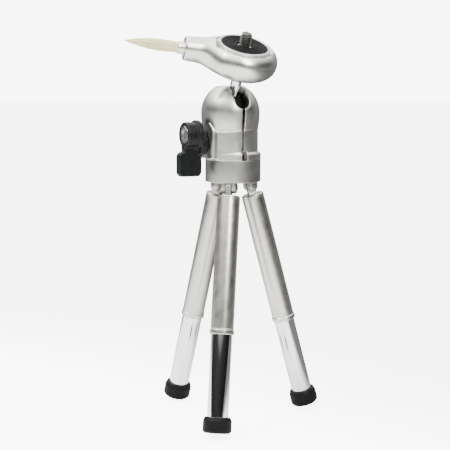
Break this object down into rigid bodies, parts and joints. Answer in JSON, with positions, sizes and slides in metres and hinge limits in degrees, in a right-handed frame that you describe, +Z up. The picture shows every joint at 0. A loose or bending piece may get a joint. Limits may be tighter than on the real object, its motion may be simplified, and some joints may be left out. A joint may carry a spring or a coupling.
{
  "type": "tabletop tripod",
  "caption": "Small table-top camera tripod: hinged telescopic legs, turning clamped ball head with lever, teardrop camera platform and a lens-brush handle.",
  "frame": {"origin": "middle of the footprint's bounding box, on the ground that the feet stand on", "axes": "+Z up along the tripod's axis; -Y towards the side that shows the head's slit and the front leg; -X along the brush handle"},
  "size_m": [0.1068, 0.0881, 0.2137],
  "materials": {
    "satin_metal": "satin",
    "tube_metal": "satin",
    "chrome": "polished",
    "rim_metal": "satin",
    "steel": "machined",
    "brass": "machined",
    "black_plastic": "moulded",
    "ivory_plastic": "moulded",
    "rubber_pad": "matte",
    "rubber_foot": "matte",
    "handle_plug": "satin",
    "ferrule": "satin",
    "bristle": "fine bristles"
  },
  "bodies": {
    "stand": {"leg_hub": "satin_metal", "pan_washer": "steel", "hinge_pin_front": "steel", "hinge_pin_right": "steel", "hinge_pin_left": "steel"},
    "head": {"pan_screw": "steel", "ball_housing": "satin_metal", "socket_liner": "black_plastic", "ball_seat": "ivory_plastic", "clamp_nut": "brass"},
    "lever": {"clamp_lever": "black_plastic", "clamp_bolt": "steel", "lever_spacer": "steel"},
    "ball_stem": {"ball": "black_plastic", "stem": "chrome", "stem_nut": "steel"},
    "platform": {"platform_body": "satin_metal", "platform_rim": "rim_metal", "camera_pad": "rubber_pad", "camera_screw": "steel", "brush_plug": "handle_plug", "brush_ferrule": "ferrule", "brush_tuft": "bristle"},
    "front_leg": {"leg_yoke_front": "tube_metal", "upper_tube_front": "tube_metal"},
    "front_leg_tip": {"slide_bush_front": "ivory_plastic", "lower_tube_front": "chrome", "foot_front": "rubber_foot"},
    "right_leg": {"leg_yoke_right": "tube_metal", "upper_tube_right": "tube_metal"},
    "right_leg_tip": {"slide_bush_right": "ivory_plastic", "lower_tube_right": "chrome", "foot_right": "rubber_foot"},
    "left_leg": {"leg_yoke_left": "tube_metal", "upper_tube_left": "tube_metal"},
    "left_leg_tip": {"slide_bush_left": "ivory_plastic", "lower_tube_left": "chrome", "foot_left": "rubber_foot"}
  },
  "joints": [
    {"name": "head_pan", "type": "hinge", "parent": "stand", "child": "head", "pos_m": [0.0036, 0.0071, 0.14465], "axis": [0, 0, 1], "continuous": true},
    {"name": "lever_turn", "type": "hinge", "parent": "head", "child": "lever", "pos_m": [0.00218, 0.00637, 0.15865], "axis": [-0.891, -0.454, 0], "range_deg": [0, 180]},
    {"name": "ball_tilt", "type": "hinge", "parent": "head", "child": "ball_stem", "pos_m": [0.00218, 0.00637, 0.17275], "axis": [0.891, 0.454, 0], "range_deg": [-38, 48]},
    {"name": "platform_turn", "type": "hinge", "parent": "ball_stem", "child": "platform", "pos_m": [0.00843, -0.00589, 0.20098], "axis": [0.199, -0.3906, 0.8988], "continuous": true},
    {"name": "front_leg_fold", "type": "hinge", "parent": "stand", "child": "front_leg", "pos_m": [0.00159, -0.003, 0.12965], "axis": [0.9806, -0.1959, 0], "range_deg": [0, 15.1]},
    {"name": "front_leg_slide", "type": "slide", "parent": "front_leg", "child": "front_leg_tip", "axis": [0.051, 0.2555, 0.9655], "range_m": [0, 0.042]},
    {"name": "right_leg_fold", "type": "hinge", "parent": "stand", "child": "right_leg", "pos_m": [0.01336, 0.0104, 0.12965], "axis": [-0.3206, 0.9472, 0], "range_deg": [0, 15.1]},
    {"name": "right_leg_slide", "type": "slide", "parent": "right_leg", "child": "right_leg_tip", "axis": [-0.2468, -0.0835, 0.9655], "range_m": [0, 0.042]},
    {"name": "left_leg_fold", "type": "hinge", "parent": "stand", "child": "left_leg", "pos_m": [-0.00413, 0.0139, 0.12965], "axis": [-0.66, -0.7513, 0], "range_deg": [0, 15.1]},
    {"name": "left_leg_slide", "type": "slide", "parent": "left_leg", "child": "left_leg_tip", "axis": [0.1957, -0.1719, 0.9655], "range_m": [0, 0.042]}
  ]
}
